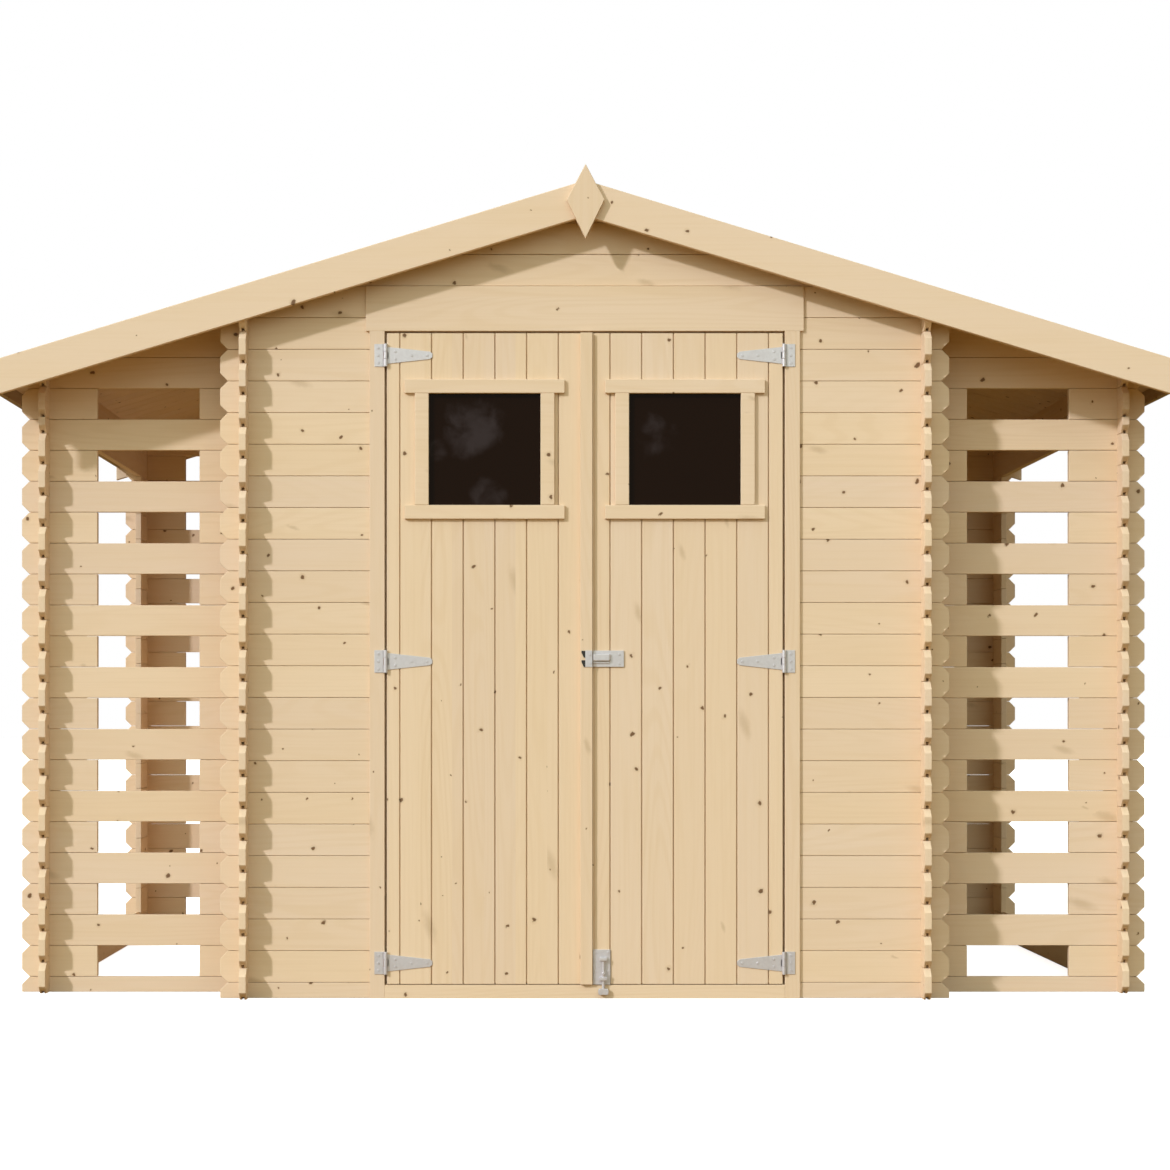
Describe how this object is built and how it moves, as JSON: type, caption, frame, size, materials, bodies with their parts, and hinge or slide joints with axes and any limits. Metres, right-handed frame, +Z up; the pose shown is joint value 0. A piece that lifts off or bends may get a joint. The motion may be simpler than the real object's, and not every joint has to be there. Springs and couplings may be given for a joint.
{
  "type": "garden shed with log stores",
  "caption": "Timber garden shed with double doors and small door windows, a slatted open-sided log store on each side, all under one low gable roof.",
  "frame": {"origin": "on the ground, at the middle of the building's width and depth", "axes": "+X to the right as one faces the doors, +Y to the rear, +Z up"},
  "size_m": [3.186, 2.076, 2.193],
  "materials": {
    "timber": "planed, untreated pine",
    "sawn_timber": "sawn, untreated pine",
    "glass": "clear sheet over a dark room",
    "zinc": "bright zinc plate"
  },
  "bodies": {
    "shed": {"front_wall_left": "timber", "front_wall_right": "timber", "front_gable": "timber", "rear_wall": "timber", "left_wall": "timber", "right_wall": "timber", "left_store_front": "timber", "left_store_rear": "timber", "right_store_front": "timber", "right_store_rear": "timber", "left_store_posts": "timber", "right_store_posts": "timber", "left_store_bottom_rail": "timber", "right_store_bottom_rail": "timber", "left_store_top_rail": "timber", "right_store_top_rail": "timber", "ridge_beam": "sawn_timber", "left_roof": "timber", "right_roof": "timber", "left_eave_strip": "sawn_timber", "right_eave_strip": "sawn_timber", "front_barge_boards": "timber", "rear_barge_boards": "timber", "front_finial": "timber", "rear_finial": "timber", "door_header": "timber", "left_jamb": "timber", "right_jamb": "timber", "door_sill": "timber", "left_hinge_plates": "zinc", "right_hinge_plates": "zinc"},
    "left_door": {"left_door": "timber", "left_door_ledges": "sawn_timber", "left_window_trim": "timber", "left_window_glass": "glass", "left_hinge_straps": "zinc", "meeting_strip": "timber", "latch_keeper": "zinc"},
    "right_door": {"right_door": "timber", "right_door_ledges": "sawn_timber", "right_window_trim": "timber", "right_window_glass": "glass", "right_hinge_straps": "zinc", "latch": "zinc", "foot_bolt_plate": "zinc"},
    "foot_bolt": {"foot_bolt": "zinc"}
  },
  "joints": [
    {"name": "left_door_hinge", "type": "hinge", "parent": "shed", "child": "left_door", "pos_m": [-0.5275, -0.963, 0], "axis": [0, 0, -1], "range_deg": [0, 160]},
    {"name": "right_door_hinge", "type": "hinge", "parent": "shed", "child": "right_door", "pos_m": [0.5275, -0.963, 0], "axis": [0, 0, 1], "range_deg": [0, 160]},
    {"name": "foot_bolt_slide", "type": "slide", "parent": "right_door", "child": "foot_bolt", "axis": [0, 0, 1], "range_m": [0, 0.02]}
  ]
}
